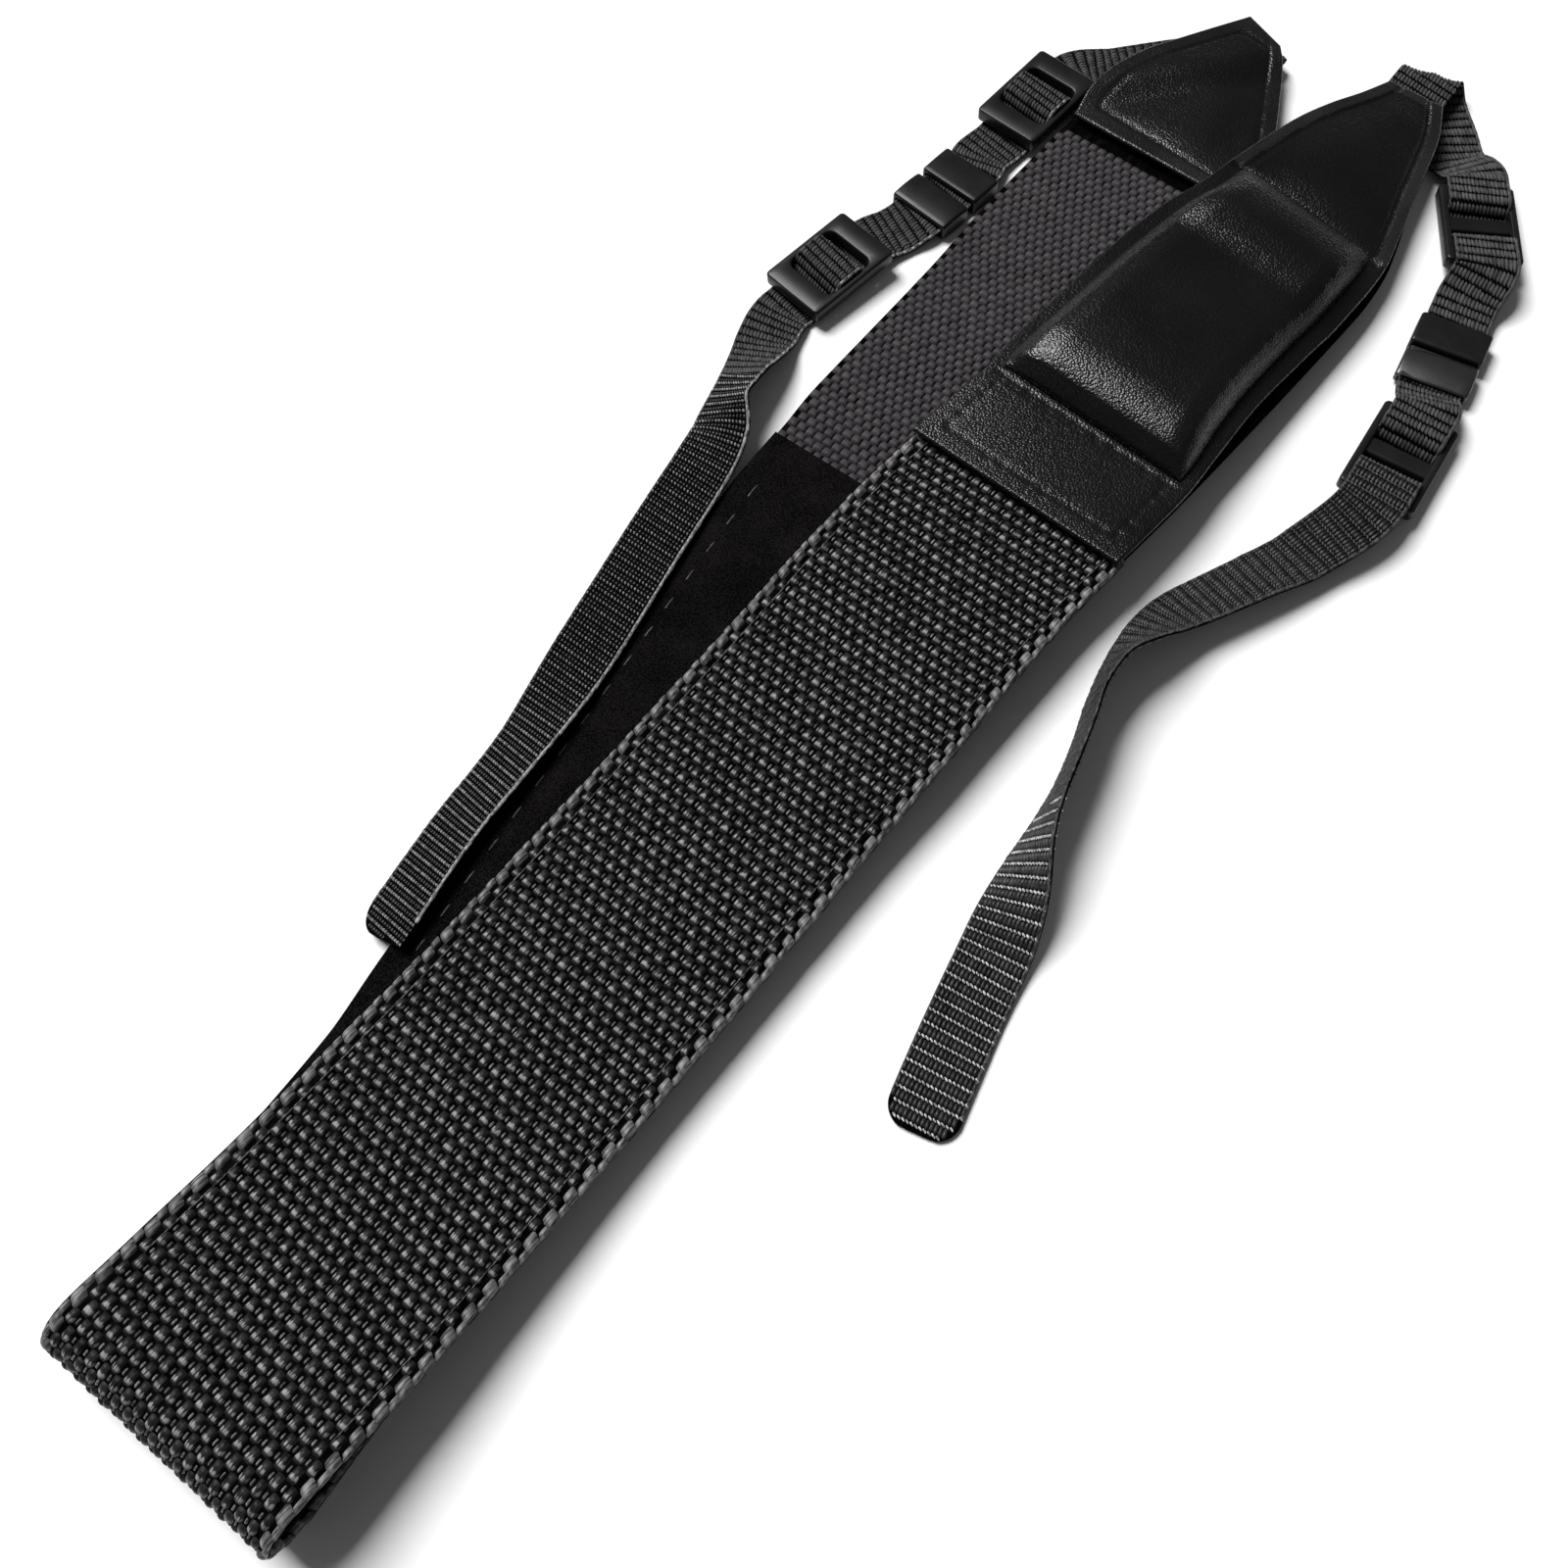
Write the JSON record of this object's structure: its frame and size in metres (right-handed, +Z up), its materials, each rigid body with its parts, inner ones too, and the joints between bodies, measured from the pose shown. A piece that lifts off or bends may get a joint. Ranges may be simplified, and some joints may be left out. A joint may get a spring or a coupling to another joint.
{
  "type": "camera neck strap",
  "caption": "Woven camera neck strap folded in half, with a suede lining, leather ends, a padded pouch and narrow webbing tails threaded through sliders and keepers.",
  "frame": {"origin": "on the surface that the strap lies on, at the middle of its footprint", "axes": "+Y from the fold towards the leather tips, +X towards the tail with the free end that lies flat, +Z up"},
  "size_m": [0.1112, 0.2955, 0.0151],
  "materials": {
    "band_weave": "coarse two-ply woven nylon, charcoal",
    "lining_suede": "black suede-like lining with light stitches",
    "leather_black": "black fine-grained leather, slightly glossy",
    "tail_webbing": "narrow cross-ribbed webbing, charcoal",
    "slider_plastic": "dark moulded plastic, satin"
  },
  "bodies": {
    "root": {"band": "band_weave", "neck_lining": "lining_suede", "leather_end_a": "leather_black", "inner_tip_a": "leather_black", "pouch": "leather_black", "leather_end_b": "leather_black", "inner_tip_b": "leather_black", "left_tail": "tail_webbing", "right_tail": "tail_webbing", "left_slider_1": "slider_plastic", "left_slider_2": "slider_plastic", "left_keeper_1": "slider_plastic", "left_keeper_2": "slider_plastic", "right_slider_1": "slider_plastic", "right_slider_2": "slider_plastic", "right_keeper_1": "slider_plastic", "right_keeper_2": "slider_plastic"}
  },
  "joints": []
}
